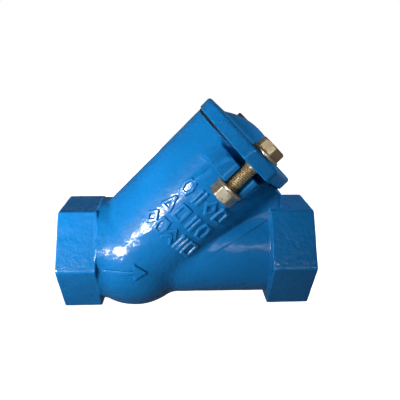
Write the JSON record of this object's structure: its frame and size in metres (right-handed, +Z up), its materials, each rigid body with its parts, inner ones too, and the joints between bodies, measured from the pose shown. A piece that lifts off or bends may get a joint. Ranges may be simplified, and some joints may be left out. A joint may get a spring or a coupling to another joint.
{
  "type": "y-pattern ball check valve",
  "caption": "Y-pattern check valve with hexagonal threaded ends: a rubber-coated ball in a raised branch, under a domed cover held by bolts through ears.",
  "frame": {"origin": "centre of the inlet end face, on the pipe axis, where the inlet thread starts", "axes": "+X along the pipe with the flow, +Z up, with the branch leaning towards +X and +Z; +Y is to the left of the flow"},
  "size_m": [0.15, 0.1204, 0.1288],
  "materials": {
    "painted_body": "glossy blue epoxy on cast iron",
    "painted_cover": "glossy blue epoxy on cast iron",
    "gasket_rubber": "matt black nitrile rubber",
    "ball_metal": "cast aluminium core",
    "ball_rubber": "satin black nitrile rubber",
    "zinc_bolt": "yellow zinc plated",
    "zinc_nut": "yellow zinc plated",
    "zinc_washer": "yellow zinc plated"
  },
  "bodies": {
    "body": {"valve_body": "painted_body", "cover_gasket": "gasket_rubber"},
    "ball": {"ball_core": "ball_metal", "ball_coating": "ball_rubber"},
    "cover": {"cover": "painted_cover", "front_bolt": "zinc_bolt", "rear_bolt": "zinc_bolt", "front_head_washer": "zinc_washer", "rear_head_washer": "zinc_washer"},
    "front_washer_stack": {"front_nut_washer": "zinc_washer"},
    "front_nut_spin": {"front_nut": "zinc_nut"},
    "rear_washer_stack": {"rear_nut_washer": "zinc_washer"},
    "rear_nut_spin": {"rear_nut": "zinc_nut"}
  },
  "joints": [
    {"name": "ball_travel", "type": "slide", "parent": "body", "child": "ball", "axis": [0.7071, 0, 0.7071], "range_m": [0, 0.073]},
    {"name": "cover_lift", "type": "slide", "parent": "body", "child": "cover", "axis": [0.7071, 0, 0.7071], "range_m": [0, 0.06]},
    {"name": "front_washer_drop", "type": "slide", "parent": "body", "child": "front_washer_stack", "axis": [-0.7071, 0, -0.7071], "range_m": [0, 0.0075]},
    {"name": "front_nut_turn", "type": "hinge", "parent": "front_washer_stack", "child": "front_nut_spin", "pos_m": [0.043, -0.051, 0], "axis": [-0.7071, 0, -0.7071], "range_deg": [0, 2160]},
    {"name": "rear_washer_drop", "type": "slide", "parent": "body", "child": "rear_washer_stack", "axis": [-0.7071, 0, -0.7071], "range_m": [0, 0.0075]},
    {"name": "rear_nut_turn", "type": "hinge", "parent": "rear_washer_stack", "child": "rear_nut_spin", "pos_m": [0.043, 0.051, 0], "axis": [-0.7071, 0, -0.7071], "range_deg": [0, 2160]}
  ],
  "couplings": [
    {"joint": "front_washer_drop", "follows": "front_nut_turn", "m_per_rad": 0.00019894},
    {"joint": "rear_washer_drop", "follows": "rear_nut_turn", "m_per_rad": 0.00019894}
  ]
}
